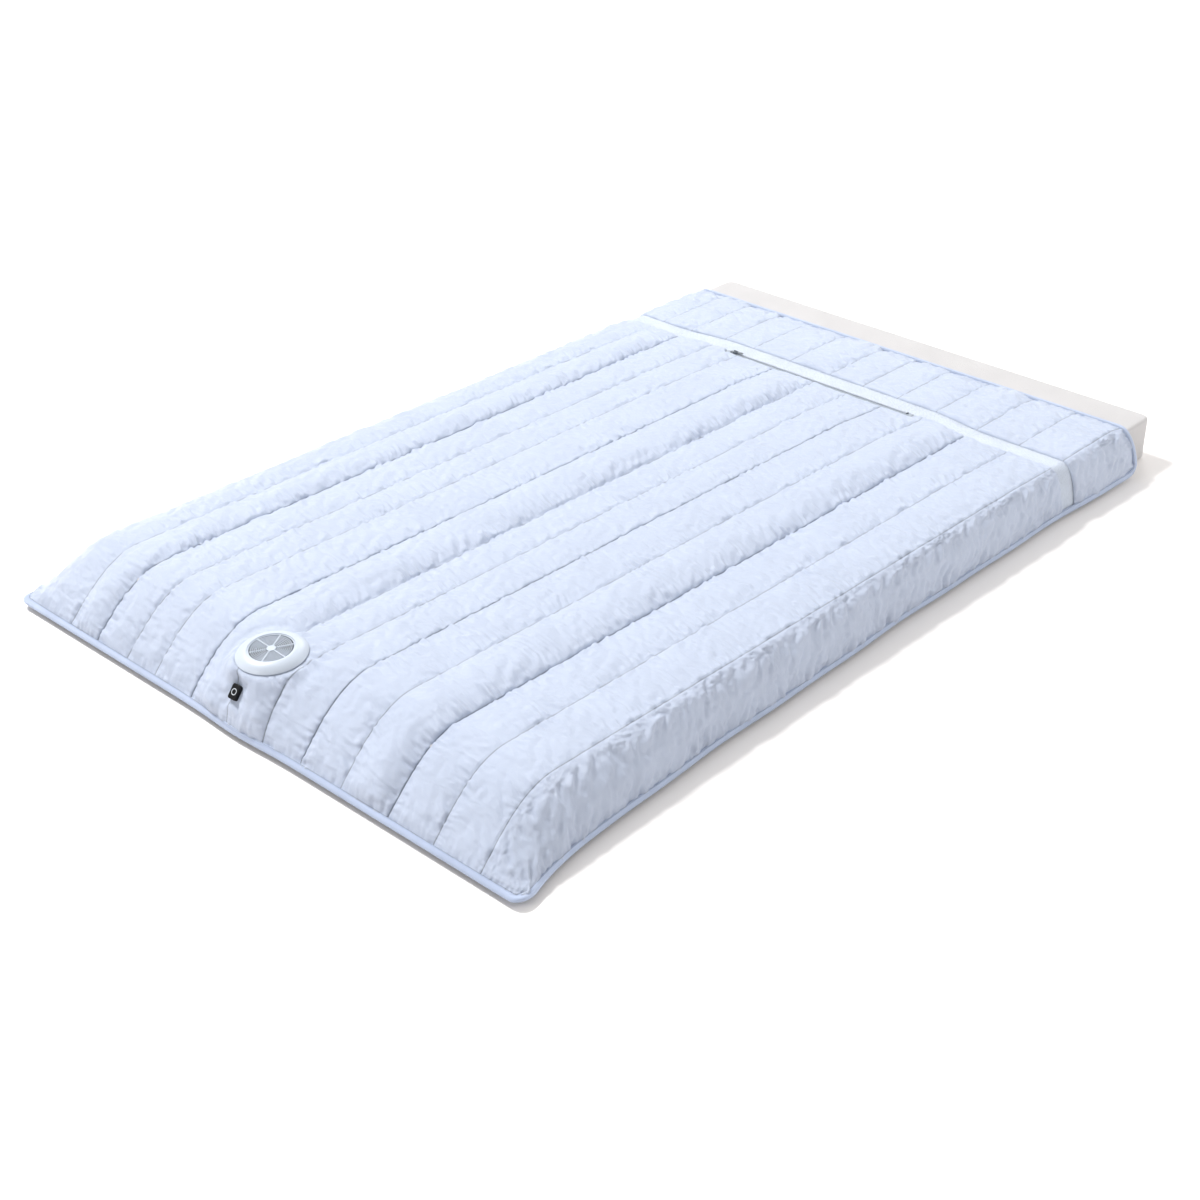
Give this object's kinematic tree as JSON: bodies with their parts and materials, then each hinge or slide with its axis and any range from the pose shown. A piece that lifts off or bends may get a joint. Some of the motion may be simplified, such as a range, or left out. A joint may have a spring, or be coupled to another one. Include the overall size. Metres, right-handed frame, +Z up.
{
  "type": "fan-ventilated cooling quilt",
  "caption": "Quilted bed cooling pad draped over a foam slab, with a round fan and a control at the foot and a mesh air outlet band with a zip near the head.",
  "frame": {"origin": "on the floor, under the middle of the object's box, which runs from the foot hem to the slab's head end", "axes": "+Z up; +Y along the bed from the foot, where the fan is, to the head; +X across the bed, to the right seen from the foot"},
  "size_m": [1.3652, 2.068, 0.1385],
  "materials": {
    "slab_foam": "matt, fine open-cell foam",
    "quilt_nylon": "satin, tightly woven nylon",
    "wadding": "matt, fluffy",
    "band_mesh": "matt, open knitted mesh",
    "liner_cloth": "matt, plain weave",
    "piping_cloth": "satin, bias-cut binding",
    "spacer_mesh": "matt, three-dimensional knitted mesh",
    "zip_tape_cloth": "matt, twill tape",
    "zip_nylon": "satin, moulded coil",
    "zip_metal": "satin enamel",
    "fan_white": "semi-gloss moulding",
    "fan_grey": "fine matt moulding",
    "impeller_grey": "satin moulding",
    "steel": "turned",
    "copper": "enamelled wire",
    "brass_tube": "turned",
    "magnet_black": "matt",
    "board_green": "solder mask",
    "control_black": "semi-gloss moulding",
    "light_pale": "frosted light guide",
    "lead_black": "matt sheath"
  },
  "bodies": {
    "pad": {"foam_slab": "slab_foam", "main_quilt_shell": "quilt_nylon", "head_quilt_shell": "quilt_nylon", "main_quilt_wadding": "wadding", "head_quilt_wadding": "wadding", "air_outlet_band": "band_mesh", "bottom_liner": "liner_cloth", "hem_piping": "piping_cloth", "air_core_mesh": "spacer_mesh", "zip_tape": "zip_tape_cloth", "zip_chain": "zip_nylon", "zip_end_stops": "zip_metal", "fan_bezel": "fan_white", "fan_grille": "fan_white", "fan_housing": "fan_grey", "fan_base": "fan_grey", "fan_clamp_ring": "fan_white", "fan_screws": "steel", "fan_collar": "quilt_nylon", "motor_stator": "steel", "motor_windings": "copper", "motor_board": "board_green", "bearing_tube": "brass_tube", "fan_bearings": "steel", "control_case": "control_black", "button_light_ring": "light_pale", "button_switch": "magnet_black", "control_board": "board_green", "control_back_plate": "control_black", "control_screws": "steel", "power_inlet": "steel", "control_lead": "lead_black"},
    "impeller_rotor": {"impeller": "impeller_grey", "rotor_cup": "steel", "rotor_magnet": "magnet_black", "fan_shaft": "steel"},
    "button": {"power_button": "control_black"},
    "slider": {"zip_slider": "zip_metal"},
    "pull_tab": {"zip_pull": "zip_metal"}
  },
  "joints": [
    {"name": "impeller_spin", "type": "hinge", "parent": "pad", "child": "impeller_rotor", "pos_m": [-0.01, -0.928, 0.121], "axis": [0, -0.0872, 0.9962], "continuous": true},
    {"name": "button_press", "type": "slide", "parent": "pad", "child": "button", "axis": [0, 0.788, -0.6157], "range_m": [0, 0.0012], "stiffness_N_per_m": 300, "springref_m": -0.0008},
    {"name": "zip_slide", "type": "slide", "parent": "pad", "child": "slider", "axis": [1, 0, 0], "range_m": [0, 0.472]},
    {"name": "pull_flip", "type": "hinge", "parent": "slider", "child": "pull_tab", "pos_m": [-0.269, 0.653, 0.1182], "axis": [0, -1, 0], "range_deg": [0, 100]}
  ]
}
